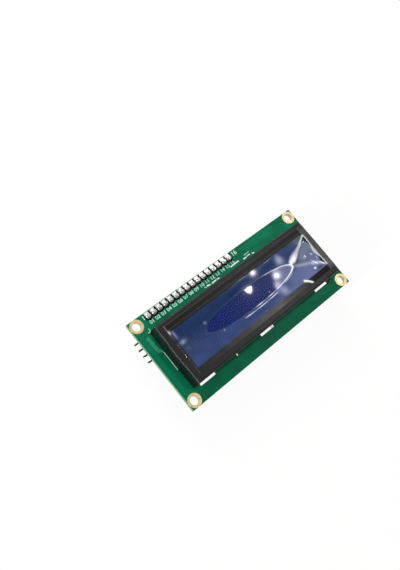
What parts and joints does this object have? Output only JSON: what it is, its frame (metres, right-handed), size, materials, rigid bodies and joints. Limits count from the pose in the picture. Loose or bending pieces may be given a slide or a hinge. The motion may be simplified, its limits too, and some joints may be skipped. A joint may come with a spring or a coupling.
{
  "type": "character lcd module",
  "caption": "Two-line character display in a black folded bezel on a green driver board, with a film over the glass and a small adapter board soldered on behind.",
  "frame": {"origin": "the middle of the four mounting holes, on the main board's front face", "axes": "+X along the board's long side, away from pin 1; +Y towards the pin row; +Z out of the display's face"},
  "size_m": [0.08, 0.0363, 0.0183],
  "materials": {
    "board_green": "green solder mask, satin",
    "gold_plate": "gold-plated copper",
    "bezel_black": "black paint, satin",
    "film": "clear film, wrinkled",
    "polariser_blue": "deep blue, glossy",
    "display_glass": "clear",
    "connector_rubber": "matt",
    "backlight_white": "white, matt",
    "light_acrylic": "clear, polished",
    "lamp_resin": "cast",
    "black_resin": "cast, semi-gloss",
    "black_moulding": "moulded, satin",
    "flashed_pin": "nickel with a gold flash",
    "solder": "solder, bright",
    "tin_plate": "tinned",
    "adapter_black": "black solder mask, satin",
    "chip_epoxy": "moulded epoxy, matt",
    "capacitor_tan": "fired, matt",
    "trimmer_blue": "moulded, semi-gloss",
    "trimmer_ceramic": "fired, matt",
    "rotor_metal": "plated, brushed"
  },
  "bodies": {
    "module": {"main_board": "board_green", "mounting_rings": "gold_plate", "slot_pads": "gold_plate", "board_pads": "gold_plate", "board_resistors": "chip_epoxy", "board_resistor_ends": "tin_plate", "bezel": "bezel_black", "protective_film": "film", "front_polariser": "polariser_blue", "front_glass": "display_glass", "rear_glass": "display_glass", "rear_polariser": "polariser_blue", "zebra_strips": "connector_rubber", "diffuser_sheet": "backlight_white", "light_guide": "light_acrylic", "reflector_sheet": "backlight_white", "light_frame": "backlight_white", "lamp_strip": "backlight_white", "lamps": "lamp_resin", "controller_resin": "black_resin", "driver_resin": "black_resin", "pin_strip": "black_moulding", "pins": "flashed_pin", "front_joints": "solder", "rear_joints": "solder", "adapter_board": "adapter_black", "adapter_pads": "tin_plate", "under_joints": "solder", "expander_chip": "chip_epoxy", "expander_leads": "tin_plate", "trimmer_body": "trimmer_blue", "trimmer_base": "trimmer_ceramic", "trimmer_legs": "tin_plate", "cable_header": "black_moulding", "cable_pins_bent": "flashed_pin", "jumper_header": "black_moulding", "jumper_pins_bent": "flashed_pin", "adapter_resistors": "chip_epoxy", "adapter_capacitors": "capacitor_tan", "adapter_part_ends": "tin_plate", "power_led": "lamp_resin", "transistor": "chip_epoxy", "transistor_leads": "tin_plate"},
    "cap": {"jumper_cap": "black_moulding", "jumper_contact": "tin_plate"},
    "rotor": {"trimmer_rotor": "rotor_metal"}
  },
  "joints": [
    {"name": "cap_pull", "type": "slide", "parent": "module", "child": "cap", "axis": [1, 0, 0], "range_m": [0, 0.006]},
    {"name": "contrast_turn", "type": "hinge", "parent": "module", "child": "rotor", "pos_m": [-0.0248, 0.0098, -0.0095], "axis": [0, 0, 1], "range_deg": [-130, 130]}
  ]
}
